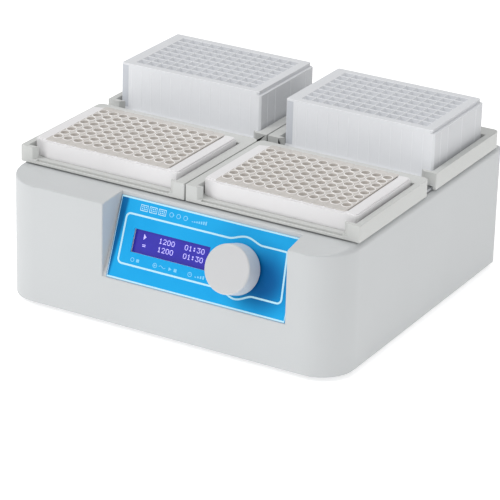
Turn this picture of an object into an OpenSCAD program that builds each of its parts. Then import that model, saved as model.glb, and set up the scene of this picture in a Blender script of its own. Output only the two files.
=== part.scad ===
// Orbital microplate shaker: a moulded housing with a sloped control panel, a belt-driven crank
// and a platform that carries four labware nests. Millimetres, Z up, feet on the XY plane,
// front towards -Y. The platform circles on a crank pin and keeps its heading through four
// idler cranks, one near each corner.

/* [Housing] */
// Width of the housing
housing_w = 290.4; // [280:0.1:310]
// Depth of the housing
housing_d = 267; // [262:0.5:280]
// Height of the housing, from its lower edge to the deck
housing_h = 98.7; // [96:0.1:104]
// Height of the lower edge above the bench
foot_gap = 4; // [3:0.5:8]
// Wall thickness of the moulded shell
wall = 3; // [2.5:0.1:3.5]
// Radius of the front vertical corners
front_r = 30.5; // [20:0.5:36]
// Radius of the rounded edge of the deck
edge_r = 5; // [3:0.5:6]
// Radius of the rear vertical corners
rear_r = 6; // [4:0.5:12]
// Drop of the deck towards the front edge
deck_drop = 4.2; // [2:0.1:6]

/* [Control panel] */
// Left end of the panel recess
panel_x0 = -50.6; // [-60:0.1:-45]
// Width of the panel recess
panel_w = 152.6; // [145:0.1:156]
// Draft of the recess's left end, over its depth
recess_draft = 3.1; // [0:0.1:4]
// Height of the recess's lower edge above the housing's lower edge
panel_low = 36.9; // [32:0.1:40]
// Rise of the panel face
panel_rise = 59; // [56:0.1:60]
// Run of the panel face, from its lower to its upper edge
panel_run = 22.1; // [18:0.1:24]
// Width of the display window
lcd_w = 65; // [60:0.5:66]
// Height of the display window
lcd_h = 17.7; // [14:0.1:19]
// Radius of the control knob
knob_r = 18.5; // [15:0.1:20]
// Height of the knob's face above the panel
knob_face = 18; // [16:0.1:22]

/* [Platform] */
// Distance of the platform's front edge behind the housing's front
platform_setback = 27.9; // [26:0.1:30]
// Width of one nest
nest_w = 144.5; // [140:0.1:144.6]
// Depth of one nest
nest_d = 109.9; // [106:0.1:110]
// Gap between the front and rear nests
nest_gap_y = 11.2; // [8:0.1:12]
// Height of a nest above the platform's underside
nest_h = 13.2; // [12:0.1:15]
// Gap between the deck and the platform
deck_gap = 1.1; // [0.8:0.1:2]
// Radius of the platform's circular orbit
orbit_r = 1.5; // [1:0.1:2]

/* [Labware] */
// Length of a plate's footprint
plate_l = 127.76; // [127.5:0.01:128]
// Width of a plate's footprint
plate_w = 85.48; // [85.2:0.01:85.7]
// Height of a strip plate
strip_plate_h = 14.3; // [14:0.05:15]
// Height of a deep-well plate
deep_plate_h = 39.3; // [38:0.1:44]
// Distance between neighbouring wells
well_pitch = 9; // [9:0.1:9]

/* [Hidden] */
$fn = 48;
eps = 0.01;
// shell
tilt = atan(panel_run / panel_rise);
knob_u = 56.6;
knob_v = 29.95;
knob_edge = 1.4;
knob_reach = (knob_face - knob_edge) * cos(tilt) + (knob_r - knob_edge - knob_v) * sin(tilt)
    + knob_edge;
rear_reach = 3.8;
knob_clear = 1.6;
front_y = knob_reach - (housing_d + knob_reach + rear_reach) / 2;
back_y = front_y + housing_d;
deck_z = foot_gap + housing_h;
panel_z = foot_gap + panel_low;
panel_len = norm([panel_rise, panel_run]);
film = 0.8;
lcd_u = -1.5;
lcd_v = 31.7;
lcd_depth = 2.3;
cable_x = [14, 24];
// platform
platform_z = deck_z + deck_gap;
nest_split = 1.06;
platform_front = front_y + platform_setback;
platform_d = 2 * nest_d + nest_gap_y;
hub_y = platform_front + platform_d / 2;
axis_y = hub_y + orbit_r;
carrier_t = 2.2;
floor_z = platform_z + 3.47;
nest_top = platform_z + nest_h;
inner_rail = 8.5;
outer_rail = 5.2;
front_return = 3.5;
post_chamfer = 3.7;
post_outer = 14.2;
post_inner = 13.5;
plate_side_gap = 1.5;
plate_front_gap = 7.7;
// drive
idler_x = 92;
idler_dy = 68;
plate_z = 52;
plate_t = 4;
motor_x = -72;
belt_z = 62.5;
belt_h = 8;
belt_t = 1.6;
drive_pitch_r = 35;
motor_pitch_r = 14;
shaft_r = 8;
crank_z = 84;
pin_r = 6;
idler_pin_r = 4;
running = 0.05;
// base
pan_z = foot_gap + 1;
pan_t = 2;
foot_r = 10;
inside_z = pan_z + pan_t;
foot_points = [[-118, -98], [118, -98], [-118, 112], [118, 112]];
boss_points = [[-136.5, -60], [136.5, -60], [-136.5, 60], [136.5, 60], [-60, 129.6], [60, 129.6]];
column_points = [for (sx = [-1, 1], sy = [-1, 1]) [sx * 108, hub_y + sy * 80]];
board_points = [for (x = [6.5, 93.5], y = [-92, -44]) [x, y]];
display_points = [for (su = [-1, 1], sv = [-1, 1]) [lcd_u + su * 37.6, lcd_v + sv * 15.6]];
idler_points = [for (sx = [-1, 1], sy = [-1, 1]) [sx * idler_x, hub_y + sy * idler_dy]];

// ---------- helpers ----------

// Plan of a box with its own radius at the front and at the rear corners.
module plan(x0, x1, y0, y1, rf, rr) {
    union() {
        translate([x0, y0 + rf]) square([x1 - x0, y1 - rr - y0 - rf]);
        translate([x0 + rf, y0]) square([x1 - x0 - 2 * rf, rf + eps]);
        translate([x0 + rr, y1 - rr - eps]) square([x1 - x0 - 2 * rr, rr + eps]);
        for (x = [x0 + rf, x1 - rf]) translate([x, y0 + rf]) circle(rf, $fn = 96);
        for (x = [x0 + rr, x1 - rr]) translate([x, y1 - rr]) circle(rr, $fn = 48);
    }
}

module box(x0, x1, y0, y1, z0, z1) {
    translate([x0, y0, z0]) cube([x1 - x0, y1 - y0, z1 - z0]);
}

module tube(r_out, r_in, h) {
    difference() {
        cylinder(r = r_out, h = h);
        translate([0, 0, -1]) cylinder(r = r_in, h = h + 2);
    }
}

// A profile in the YZ plane, extruded along X.
module along_x(x0, x1, points) {
    translate([x0, 0, 0]) rotate([90, 0, 90]) linear_extrude(x1 - x0) polygon(points);
}

// Local frame of the panel: X along it, Y up its face, Z out of it.
module on_panel(u = 0, v = 0, w = 0) {
    translate([0, front_y, panel_z]) rotate([90 - tilt, 0, 0]) translate([u, v, w]) children();
}

module at_each(points) {
    for (p = points) translate([p[0], p[1], 0]) children();
}

// Pan-head screw, head down on z = 0 and shank below.
module screw(r, length) {
    difference() {
        union() {
            cylinder(r = 2 * r, h = 1.3 * r);
            translate([0, 0, -length]) cylinder(r = r, h = length + eps);
        }
        translate([0, 0, 0.5 * r]) for (a = [0, 90]) rotate(a)
            translate([-1.2 * r, -0.25 * r, 0]) cube([2.4 * r, 0.5 * r, r]);
    }
}

// ---------- housing ----------

// Point [y, z] on the panel's section: v up the face, w out of it.
function panel_point(v, w) = [
    front_y + v * sin(tilt) - w * cos(tilt), panel_z + v * cos(tilt) + w * sin(tilt)];

function panel_y(z, back) = front_y + (z - panel_z) * tan(tilt) + back / cos(tilt);

// Space in front of the panel: "back" is how far behind the film's face it reaches.
module panel_space(back, grow) {
    top_z = panel_z + panel_rise;
    x0 = panel_x0 - grow;
    x1 = panel_x0 + panel_w + grow;
    intersection() {
        along_x(x0 - recess_draft - 1, x1 + 1, [
            [front_y - 5, panel_z - grow],
            [panel_y(panel_z - grow, back), panel_z - grow],
            [panel_y(top_z, back), top_z],
            [panel_y(top_z, back), deck_z + 5],
            [front_y - 5, deck_z + 5]
        ]);
        linear_extrude(deck_z + 10) polygon([
            [x0 - recess_draft, front_y - 6], [x1, front_y - 6], [x1, front_y + 2 * panel_run],
            [x0, front_y + 2 * panel_run], [x0, front_y + panel_run], [x0 - recess_draft, front_y]
        ]);
    }
}

// What the sloping front band takes off the top.
module deck_slope(down) {
    slope = deck_drop / panel_run;
    along_x(-housing_w, housing_w, [
        [front_y - 10, deck_z - down - deck_drop - 10 * slope],
        [front_y + panel_run, deck_z - down],
        [front_y + panel_run, deck_z + 5],
        [front_y - 10, deck_z + 5]
    ]);
}

// Section of what a rounded edge takes off: the wall is at x = 0 and the deck at y = 0.
module edge_section() {
    difference() {
        translate([-edge_r, -edge_r]) square(edge_r + 1);
        translate([-edge_r, -edge_r]) circle(edge_r, $fn = 64);
    }
}

// What the rounded edge takes off the right side and the right front corner.
module side_edge() {
    x = housing_w / 2;
    y = front_y + front_r;
    translate([x, back_y + 1, deck_z]) rotate([90, 0, 0]) linear_extrude(back_y + 1 - y)
        edge_section();
    intersection() {
        translate([x - front_r, y, deck_z]) rotate_extrude($fn = 96)
            translate([front_r, 0]) edge_section();
        box(x - front_r, x + 2, front_y - 2, y, deck_z - edge_r - 1, deck_z + 2);
    }
}

module housing_outer() {
    difference() {
        translate([0, 0, foot_gap]) linear_extrude(housing_h)
            plan(-housing_w / 2, housing_w / 2, front_y, back_y, front_r, rear_r);
        deck_slope(0);
        panel_space(film, 0);
        side_edge();
        mirror([1, 0, 0]) side_edge();
        translate([-housing_w / 2 - 1, back_y, deck_z]) rotate([90, 0, 90])
            linear_extrude(housing_w + 2) edge_section();
    }
}

module housing_inner() {
    x = housing_w / 2 - wall;
    difference() {
        translate([0, 0, foot_gap - 1]) linear_extrude(housing_h - wall + 1)
            plan(-x, x, front_y + wall, back_y - wall, front_r - wall, rear_r - wall);
        deck_slope(wall);
        panel_space(film + wall, wall);
    }
}

inlet_x = 92;
inlet_z = 40;
switch_x = 52;

module rear_openings() {
    y0 = back_y - wall - 1;
    box(inlet_x - 13.8, inlet_x + 13.8, y0, back_y + 1, inlet_z - 12.5, inlet_z + 12.5);
    box(switch_x - 9.6, switch_x + 9.6, y0, back_y + 1, inlet_z - 6.5, inlet_z + 6.5);
    for (i = [0:11]) box(-108 + i * 8, -105 + i * 8, y0, back_y + 1, 28, 62);
}

module upper_housing() {
    color("gainsboro") difference() {
        union() {
            difference() {
                housing_outer();
                housing_inner();
            }
            intersection() {
                union() {
                    at_each(boss_points) translate([0, 0, inside_z]) cylinder(r = 6, h = 22);
                    for (p = display_points) on_panel(p[0], p[1], -8) cylinder(r = 2.8, h = 6);
                }
                housing_outer();
            }
        }
        // openings for the drive hub and the idler cranks
        translate([0, axis_y, deck_z - 10]) cylinder(r = 28, h = 20);
        at_each(idler_points) translate([0, orbit_r, deck_z - 10]) cylinder(r = 12.5, h = 20);
        // display window, its seat behind the wall, and the encoder's hole
        on_panel(lcd_u - lcd_w / 2, lcd_v - lcd_h / 2, -10) cube([lcd_w, lcd_h, 20]);
        on_panel(lcd_u - 35.7, lcd_v - 12.9, -6) cube([71.4, 25.8, 6 - lcd_depth]);
        on_panel(knob_u, knob_v, -10) cylinder(r = 3.7, h = 20);
        rear_openings();
        at_each(boss_points) translate([0, 0, inside_z - 1]) cylinder(r = 1.3, h = 16);
        for (p = display_points) on_panel(p[0], p[1], -9) cylinder(r = 0.9, h = 6);
    }
}

module base_pan() {
    x = housing_w / 2 - wall - 0.4;
    color("lightgray") difference() {
        translate([0, 0, pan_z]) linear_extrude(pan_t) plan(-x, x, front_y + wall + 0.4,
            back_y - wall - 0.4, front_r - wall - 0.4, rear_r - wall - 0.4);
        at_each(foot_points) translate([0, 0, pan_z - 1]) cylinder(r = 2.1, h = pan_t + 2);
        at_each(boss_points) translate([0, 0, pan_z - 1]) cylinder(r = 1.7, h = pan_t + 2);
        at_each(column_points) translate([0, 0, pan_z - 1]) cylinder(r = 2.1, h = pan_t + 2);
        for (i = [0:9], s = [-1, 1])
            box(-92 + i * 9, -88 + i * 9, s * 30 - 14, s * 30 + 14, pan_z - 1, inside_z + 1);
    }
}

module rubber_feet() {
    color("dimgray") at_each(foot_points) difference() {
        union() {
            cylinder(r = foot_r - 1, h = 1.01);
            translate([0, 0, 1]) cylinder(r = foot_r, h = pan_z - 1);
        }
        translate([0, 0, -1]) cylinder(r = 4.4, h = 3);
        translate([0, 0, -1]) cylinder(r = 2.1, h = pan_z + 2);
    }
}

module foot_screws() {
    color("silver") at_each(foot_points) union() {
        translate([0, 0, 0.8]) cylinder(r = 4, h = 1.2);
        translate([0, 0, 1.9]) cylinder(r = 2, h = inside_z + 2);
        translate([0, 0, inside_z]) cylinder(r = 3.8, h = 3, $fn = 6);
    }
}

module base_screws() {
    color("silver") {
        at_each(boss_points) translate([0, 0, pan_z]) rotate([180, 0, 0]) union() {
            cylinder(r = 3, h = 1);
            translate([0, 0, -12]) cylinder(r = 1.25, h = 12.5);
        }
        at_each(column_points) translate([0, 0, pan_z]) rotate([180, 0, 0]) union() {
            cylinder(r = 3.6, h = 1);
            translate([0, 0, -10]) cylinder(r = 2, h = 10.5);
        }
    }
}

// ---------- control panel ----------

module panel_overlay() {
    color("deepskyblue") difference() {
        on_panel(panel_x0 + 0.3, 0.6, -film) cube([panel_w - 0.6, panel_len - 0.9, film]);
        on_panel(lcd_u - lcd_w / 2, lcd_v - lcd_h / 2, -5) cube([lcd_w, lcd_h, 10]);
        on_panel(knob_u, knob_v, -5) cylinder(r = 3.7, h = 10);
    }
}

module lcd_bezel() {
    color("dimgray") difference() {
        on_panel(lcd_u - 35.5, lcd_v - 12.7, -8) cube([71, 25.4, 8 - lcd_depth]);
        on_panel(lcd_u - 33, lcd_v - 9.3, -10) cube([66, 18.6, 20]);
        on_panel(lcd_u - 34.8, lcd_v - 12, -9) cube([69.6, 24, 9 - lcd_depth - 0.4]);
    }
}

module lcd_glass() {
    color("mediumblue")
        on_panel(lcd_u - 34.7, lcd_v - 11.9, -7.9) cube([69.4, 23.8, 7.9 - lcd_depth - 0.45]);
}

module display_board() {
    color("seagreen") difference() {
        union() {
            on_panel(lcd_u - 41, lcd_v - 18.5, -9.6) cube([82, 37, 1.6]);
            on_panel(cable_x[0] - 1, 14, -14.6) cube([cable_x[1] - cable_x[0] + 2, 6, 5.1]);
        }
        for (p = display_points) on_panel(p[0], p[1], -11) cylinder(r = 1.4, h = 5);
    }
}

module display_screws() {
    color("silver") for (p = display_points) on_panel(p[0], p[1], -9.6) rotate([180, 0, 0]) union() {
        cylinder(r = 2.2, h = 1.2);
        translate([0, 0, -5]) cylinder(r = 0.88, h = 5.5);
    }
}

module encoder_body() {
    color("darkgray") on_panel(knob_u, knob_v, 0) difference() {
        union() {
            translate([-6.5, -6.5, -11]) cube([13, 13, 11 - film - wall]);
            translate([0, 0, -film - wall - eps]) cylinder(r = 3.5, h = wall + film + 3.2);
        }
        translate([0, 0, -12]) cylinder(r = 3 + running, h = 20);
        translate([0, 0, -9.6]) cylinder(r = 5.3, h = 2.4);
    }
}

module encoder_nut() {
    color("silver") on_panel(knob_u, knob_v, 0) difference() {
        cylinder(r = 6, h = 2, $fn = 6);
        translate([0, 0, -1]) cylinder(r = 3.52, h = 4);
    }
}

module encoder_rotor() {
    color("gold") on_panel(knob_u, knob_v, -9.4) tube(5.2, 3.05, 2);
}

module encoder_shaft() {
    color("lightgray") on_panel(knob_u, knob_v, -10) difference() {
        cylinder(r = 3, h = 24);
        translate([1.6, -4, 16]) cube([3, 8, 9]);
    }
}

module control_knob() {
    base_r = knob_r + 0.6;
    top = knob_face - knob_clear;
    color("whitesmoke") on_panel(knob_u, knob_v, knob_clear) difference() {
        rotate_extrude($fn = 128) polygon(concat(
            [[0, 0], [base_r - 0.6, 0], [base_r, 0.6], [knob_r, top - knob_edge]],
            [for (a = [15:15:75])
                [knob_r - knob_edge + knob_edge * cos(a), top - knob_edge + knob_edge * sin(a)]],
            [[knob_r - knob_edge, top], [0, top]]));
        translate([0, 0, -1]) cylinder(r = 7.5, h = 4);
        translate([0, 0, -1]) difference() {
            cylinder(r = 3.02, h = 13.5);
            translate([1.62, -4, 5.6]) cube([3, 8, 12]);
        }
        translate([0, 0, -1]) tube(knob_r - 2, 8.5, 14);
    }
}

// ---------- electronics ----------

module main_board() {
    z = inside_z + 6;
    color("forestgreen") union() {
        difference() {
            box(2, 98, -98, -38, z, z + 1.6);
            at_each(board_points) translate([0, 0, z - 1]) cylinder(r = 1.7, h = 4);
        }
        box(cable_x[0] - 2, cable_x[1] + 2, -95, -88, z + 1.5, z + 8);
        box(48, 66, -80, -62, z + 1.5, z + 4);
        box(72, 90, -84, -56, z + 1.5, z + 16);
        for (i = [0:2]) translate([18 + i * 11, -60, z + 1.5]) cylinder(r = 4, h = 13);
    }
}

module board_spacers() {
    color("goldenrod") at_each(board_points) translate([0, 0, inside_z]) tube(3, 1.55, 6);
}

module board_screws() {
    color("silver") at_each(board_points) translate([0, 0, inside_z + 7.6]) screw(1.5, 6.5);
}

// Flat cable between the display board and the main board: a bent strip.
module ribbon_cable() {
    t = 1;
    top = panel_point(15.5, -12);
    foot = [-91.5, inside_z + 13];
    mid_z = (top[1] + foot[1]) / 2;
    color("slategray") along_x(cable_x[0], cable_x[1], [
        foot, [foot[0], foot[1] + 6], [foot[0] - 5, mid_z - 2], [top[0] + 4, mid_z + 2],
        [top[0], top[1] - 6], top, [top[0] + t, top[1]], [top[0] + t, top[1] - 6],
        [top[0] + 4 + t, mid_z + 2 + t], [foot[0] - 5 + t, mid_z - 2 + t],
        [foot[0] + t, foot[1] + 6], [foot[0] + t, foot[1]]
    ]);
}

module power_supply() {
    color("lightsteelblue") difference() {
        box(30, 92, 20, 104, inside_z, 40);
        for (i = [0:8]) box(36, 86, 26 + i * 8, 29 + i * 8, 36, 41);
    }
}

module mains_inlet() {
    z = inlet_z;
    color("dimgray") difference() {
        union() {
            box(inlet_x - 13.5, inlet_x + 13.5, back_y - 24, back_y, z - 12.2, z + 12.2);
            box(inlet_x - 15, inlet_x + 15, back_y, back_y + 2.5, z - 15, z + 15);
        }
        difference() {
            box(inlet_x - 12, inlet_x + 12, back_y - 15, back_y + 3, z - 3, z + 11.5);
            for (i = [-1:1]) box(inlet_x + i * 7 - 1, inlet_x + i * 7 + 1,
                back_y - 20, back_y - 3, z + 4 - abs(i) * 1.5 - 2, z + 4 - abs(i) * 1.5 + 2);
        }
        box(inlet_x - 11, inlet_x + 11, back_y - 20, back_y + 3, z - 12, z - 4.5);
    }
}

module fuse_drawer() {
    color("black") box(inlet_x - 10.9, inlet_x + 10.9, back_y - 19, back_y + 3,
        inlet_z - 11.9, inlet_z - 4.6);
}

module switch_frame() {
    z = inlet_z;
    color("dimgray") difference() {
        union() {
            box(switch_x - 9.5, switch_x + 9.5, back_y - 16, back_y, z - 6.4, z + 6.4);
            box(switch_x - 11, switch_x + 11, back_y, back_y + 1.5, z - 8, z + 8);
        }
        box(switch_x - 8.6, switch_x + 8.6, back_y - 12, back_y + 2, z - 5, z + 5);
        translate([switch_x, rocker_y, z - 6.1]) cylinder(r = 1.3, h = 12.2);
    }
}

// Rocker with a see-saw face, pivoting about Z. At rest it leans by rocker_lean, one end in.
rocker_lean = 11;
rocker_tip = [7.2, 5];
rocker_y = back_y + rear_reach - rocker_tip[0] * sin(rocker_lean) - rocker_tip[1] * cos(rocker_lean);

module power_rocker() {
    color("black") translate([switch_x, rocker_y, inlet_z]) rotate(rocker_lean) union() {
        translate([0, 0, -4.8]) linear_extrude(9.6) polygon([
            [-7.7, 4.2], [-rocker_tip[0], rocker_tip[1]], [0, 4.4], rocker_tip, [7.7, 4.2],
            [7, 0], [2.6, -3], [-2.6, -3], [-7, 0]
        ]);
        translate([0, 0, -6]) cylinder(r = 1.2, h = 12);
    }
}

// ---------- drive ----------

module chassis_plate() {
    color("silver") difference() {
        box(-120, 120, hub_y - 88, hub_y + 88, plate_z, plate_z + plate_t);
        translate([0, axis_y, plate_z - 1]) cylinder(r = 12, h = plate_t + 2);
        translate([motor_x, axis_y, plate_z - 1]) cylinder(r = 9, h = plate_t + 2);
        for (a = [45:90:315]) {
            translate([motor_x + 20 * cos(a), axis_y + 20 * sin(a), plate_z - 1])
                cylinder(r = 2.1, h = plate_t + 2);
            translate([27 * cos(a), axis_y + 27 * sin(a), plate_z - 1])
                cylinder(r = 2.1, h = plate_t + 2);
        }
        at_each(idler_points) translate([0, orbit_r, plate_z - 1]) cylinder(r = 10, h = plate_t + 2);
        at_each(column_points) translate([0, 0, plate_z - 1]) cylinder(r = 2.1, h = plate_t + 2);
        for (x = [48, 82]) box(x, x + 22, hub_y - 40, hub_y + 40, plate_z - 1, plate_z + plate_t + 1);
        box(-60, 60, hub_y - 76, hub_y - 50, plate_z - 1, plate_z + plate_t + 1);
    }
}

module chassis_columns() {
    color("lightgray") at_each(column_points) translate([0, 0, inside_z])
        tube(5, 2.02, plate_z - inside_z);
}

module chassis_screws() {
    z = plate_z + plate_t;
    color("gray") {
        at_each(column_points) translate([0, 0, z]) screw(2, 12);
        for (a = [45:90:315]) {
            translate([motor_x + 20 * cos(a), axis_y + 20 * sin(a), z]) screw(2, 9);
            translate([27 * cos(a), axis_y + 27 * sin(a), z]) screw(2, 8);
        }
    }
}

bearing_r = 17.5;
bearing_h = 8;
bearing_levels = [31, 43];

module bearing_housing() {
    color("silver") translate([0, axis_y, 0]) difference() {
        union() {
            translate([0, 0, 28]) cylinder(r = 22, h = plate_z - 28);
            translate([0, 0, plate_z - 6]) cylinder(r = 32, h = 6);
        }
        translate([0, 0, 31]) cylinder(r = bearing_r, h = plate_z - 31 + 1);
        translate([0, 0, 27]) cylinder(r = 14, h = 6);
        for (a = [45:90:315]) translate([27 * cos(a), 27 * sin(a), plate_z - 5])
            cylinder(r = 2.02, h = 6);
    }
}

module bearing_outer_rings() {
    color("silver") translate([0, axis_y, 0]) for (z = bearing_levels) translate([0, 0, z])
        rotate_extrude() difference() {
            translate([14, 0]) square([bearing_r - 14, bearing_h]);
            translate([12.75, bearing_h / 2]) circle(2.05);
        }
}

module bearing_balls() {
    color("gainsboro") translate([0, axis_y, 0]) for (z = bearing_levels, i = [0:8])
        rotate(i * 40) translate([12.75, 0, z + bearing_h / 2]) sphere(1.95);
}

module bearing_inner_rings() {
    color("silver") translate([0, axis_y, 0]) for (z = bearing_levels) translate([0, 0, z])
        rotate_extrude() difference() {
            translate([shaft_r, 0]) square([11.5 - shaft_r, bearing_h]);
            translate([12.75, bearing_h / 2]) circle(2.05);
        }
}

module crank_shaft() {
    color("silver") union() {
        translate([0, axis_y, 29]) cylinder(r = shaft_r, h = crank_z - 29);
        translate([0, axis_y, crank_z]) cylinder(r = 13, h = 4);
        translate([0, hub_y, crank_z + 3]) cylinder(r = pin_r, h = platform_z - crank_z - 4);
    }
}

module pulley(r, bore, z) {
    translate([0, 0, z]) difference() {
        union() {
            cylinder(r = r + 2.4, h = 1.5);
            cylinder(r = r, h = belt_h + 4);
            translate([0, 0, belt_h + 2.5]) cylinder(r = r + 2.4, h = 1.5);
        }
        translate([0, 0, -1]) cylinder(r = bore, h = belt_h + 6);
    }
}

module driven_pulley() {
    color("whitesmoke") translate([0, axis_y, 0]) difference() {
        pulley(drive_pitch_r - belt_t / 2, shaft_r, belt_z - 2);
        for (a = [0:60:300]) rotate(a) translate([21, 0, belt_z - 3]) cylinder(r = 6, h = belt_h + 6);
    }
}

module motor_pulley() {
    color("whitesmoke") translate([motor_x, axis_y, 0])
        pulley(motor_pitch_r - belt_t / 2, 4, belt_z - 2);
}

// Half disc opposite the crank pin.
module counterweight() {
    color("goldenrod") translate([0, axis_y, belt_z + belt_h + 3]) difference() {
        union() {
            intersection() {
                cylinder(r = 42, h = 9);
                box(-42, 42, 0, 42, 0, 9);
            }
            cylinder(r = 15, h = 9);
        }
        translate([0, 0, -1]) cylinder(r = shaft_r, h = 11);
        for (a = [50, 90, 130]) translate([31 * cos(a), 31 * sin(a), 4]) cylinder(r = 4, h = 6);
    }
}

// Flat belt round both pulleys: an outline offset by half its thickness to each side.
module belt_outline(grow) {
    a = drive_pitch_r + grow;
    b = motor_pitch_r + grow;
    lean = asin((a - b) / -motor_x);
    union() {
        circle(a, $fn = 128);
        translate([motor_x, 0]) circle(b, $fn = 96);
        polygon([
            [-a * sin(lean), a * cos(lean)], [motor_x - b * sin(lean), b * cos(lean)],
            [motor_x - b * sin(lean), -b * cos(lean)], [-a * sin(lean), -a * cos(lean)]
        ]);
    }
}

module drive_belt() {
    color("dimgray") translate([0, axis_y, belt_z]) linear_extrude(belt_h) difference() {
        belt_outline(belt_t / 2);
        belt_outline(0.1 - belt_t / 2);
    }
}

module motor_case() {
    color("darkslategray") translate([motor_x, axis_y, 0]) difference() {
        union() {
            translate([0, 0, 13]) cylinder(r = 28, h = plate_z - 13);
            translate([0, 0, 11]) cylinder(r = 12, h = 3);
            translate([0, 0, plate_z - eps]) cylinder(r = 8.8, h = 3);
        }
        translate([0, 0, 15]) cylinder(r = 24, h = plate_z - 19);
        translate([0, 0, 10]) cylinder(r = 4 + running, h = 60);
        for (a = [45:90:315]) translate([20 * cos(a), 20 * sin(a), plate_z - 6])
            cylinder(r = 2.02, h = 7);
    }
}

module motor_rotor() {
    color("silver") translate([motor_x, axis_y, 0]) union() {
        translate([0, 0, 12]) cylinder(r = 4, h = belt_z + belt_h + 3 - 12);
        translate([0, 0, 18]) cylinder(r = 22.5, h = 26);
    }
}

module speed_sensor() {
    color("black") union() {
        box(26, 36, axis_y - 4, axis_y + 4, plate_z + plate_t, belt_z - 2.6);
        box(36, 40, axis_y - 4, axis_y + 4, plate_z + plate_t, plate_z + plate_t + 1.6);
    }
}

module idler_bushes() {
    color("tan") at_each(idler_points) translate([0, orbit_r, 0]) difference() {
        union() {
            translate([0, 0, 42]) cylinder(r = 10, h = 26);
            translate([0, 0, plate_z + plate_t]) cylinder(r = 14, h = 3);
        }
        translate([0, 0, 41]) cylinder(r = 5 + running, h = 30);
    }
}

module idler(p) {
    color("silver") translate([p[0], p[1], 0]) union() {
        translate([0, orbit_r, 40]) cylinder(r = 5, h = crank_z - 40);
        translate([0, orbit_r, crank_z - 16]) cylinder(r = 9, h = 16);
        translate([0, orbit_r, crank_z]) cylinder(r = 8, h = 4);
        translate([0, 0, crank_z + 3]) cylinder(r = idler_pin_r, h = platform_z - crank_z - 4);
    }
}

module idler_front_left() { idler(idler_points[0]); }
module idler_rear_left() { idler(idler_points[1]); }
module idler_front_right() { idler(idler_points[2]); }
module idler_rear_right() { idler(idler_points[3]); }

// ---------- platform ----------

nest_x = nest_split / 2;
nest_front = [platform_front, platform_front + nest_d + nest_gap_y];

// Four fastening points under each plate, in the right-hand nest's plan.
nest_holes = [for (x = [30, 120], y = [28, 84]) [x, y]];

module carrier_plate() {
    x = nest_split / 2 + nest_w - 3.2;
    color("silver") difference() {
        box(-x, x, platform_front + 3.2, platform_front + platform_d - 3.2, platform_z,
            platform_z + carrier_t);
        for (a = [45:90:315]) translate([18 * cos(a), hub_y + 18 * sin(a), platform_z - 1])
            cylinder(r = 1.6, h = 5);
        for (s = [-1, 1], y = nest_front, p = nest_holes)
            translate([s * p[0], y + p[1], platform_z - 1]) cylinder(r = 1.3, h = 5);
    }
}

module platform_hub() {
    color("silver") translate([0, hub_y, 0]) difference() {
        union() {
            translate([0, 0, 89]) cylinder(r = 17, h = platform_z - 89);
            translate([0, 0, platform_z - 4]) cylinder(r = 23, h = 4);
        }
        translate([0, 0, 90]) cylinder(r = 14, h = platform_z - 90 + 1);
        translate([0, 0, 88]) cylinder(r = 11, h = 6);
        for (a = [45:90:315]) translate([18 * cos(a), 18 * sin(a), platform_z - 3.5])
            cylinder(r = 1.3, h = 5);
    }
}

module platform_bearings() {
    color("silver") translate([0, hub_y, 0]) for (z = [90, 97]) translate([0, 0, z])
        tube(14, pin_r + running, 6.5);
}

module idler_sockets() {
    color("tan") at_each(idler_points) translate([0, 0, 92])
        tube(8, idler_pin_r + 0.3, platform_z - 92);
}

module platform_screws() {
    color("gray") {
        for (s = [-1, 1], y = nest_front, p = nest_holes)
            translate([s * p[0], y + p[1], 0]) union() {
                translate([0, 0, floor_z - 1.2]) cylinder(r = 2.4, h = 1.2);
                translate([0, 0, platform_z + 0.1]) cylinder(r = 1.25, h = floor_z - platform_z - 1);
            }
        for (a = [45:90:315]) translate([18 * cos(a), hub_y + 18 * sin(a), 0]) union() {
            translate([0, 0, platform_z + carrier_t]) cylinder(r = 2.5, h = 0.8);
            translate([0, 0, platform_z - 3.2]) cylinder(r = 1.25, h = carrier_t + 3.3);
        }
    }
}

// Right-hand nest with its front edge at y: a tray with side rails, a rear shelf, corner posts
// that return across the front, and a low sill between them. Mirrored for the left side.
module nest(side, y) {
    x0 = nest_x;
    x1 = nest_x + nest_w;
    sill_z = platform_z + 2.1;
    pocket_back = y + plate_front_gap + plate_w + plate_side_gap;
    mirror([side < 0 ? 1 : 0, 0, 0]) difference() {
        translate([0, 0, platform_z]) linear_extrude(nest_h) plan(x0, x1, y, y + nest_d, 0.8, 5);
        // the plate's pocket and the open front
        box(x0 + inner_rail, x1 - outer_rail, y + front_return, pocket_back, floor_z, nest_top + 1);
        translate([0, 0, floor_z]) linear_extrude(nest_h) polygon([
            [x0 + post_inner, y + front_return + 1], [x0 + post_inner, y + front_return],
            [x0 + post_inner - post_chamfer, y], [x0 + post_inner - post_chamfer, y - 1],
            [x1 - post_outer + post_chamfer, y - 1], [x1 - post_outer + post_chamfer, y],
            [x1 - post_outer, y + front_return], [x1 - post_outer, y + front_return + 1]
        ]);
        box(x0 + post_inner, x1 - post_outer, y - 1, y + 2.6, sill_z, nest_top + 1);
        box(x0 + post_inner, x1 - post_outer, y + 1.9, y + 2.6, sill_z - 0.8, sill_z + 1);
        // room for the carrier plate and for the screws
        box(x0 - 3.3, x1 - 3.1, y + 3.1, y + nest_d - 3.1, platform_z - 1, platform_z + carrier_t);
        if (y > platform_front) box(x0 - 1, x1 - 3.1, y - 1, y + 10, platform_z - 1,
            platform_z + carrier_t);
        else box(x0 - 1, x1 - 3.1, y + nest_d - 10, y + nest_d + 1, platform_z - 1,
            platform_z + carrier_t);
        for (p = nest_holes) translate([p[0], y + p[1], platform_z]) {
            cylinder(r = 1.5, h = 10);
            translate([0, 0, floor_z - platform_z - 1.2]) cylinder(r = 2.6, h = 3);
        }
        translate([0, hub_y, platform_z - 1]) cylinder(r = 21.5, h = carrier_t + 2.2);
    }
}

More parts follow.
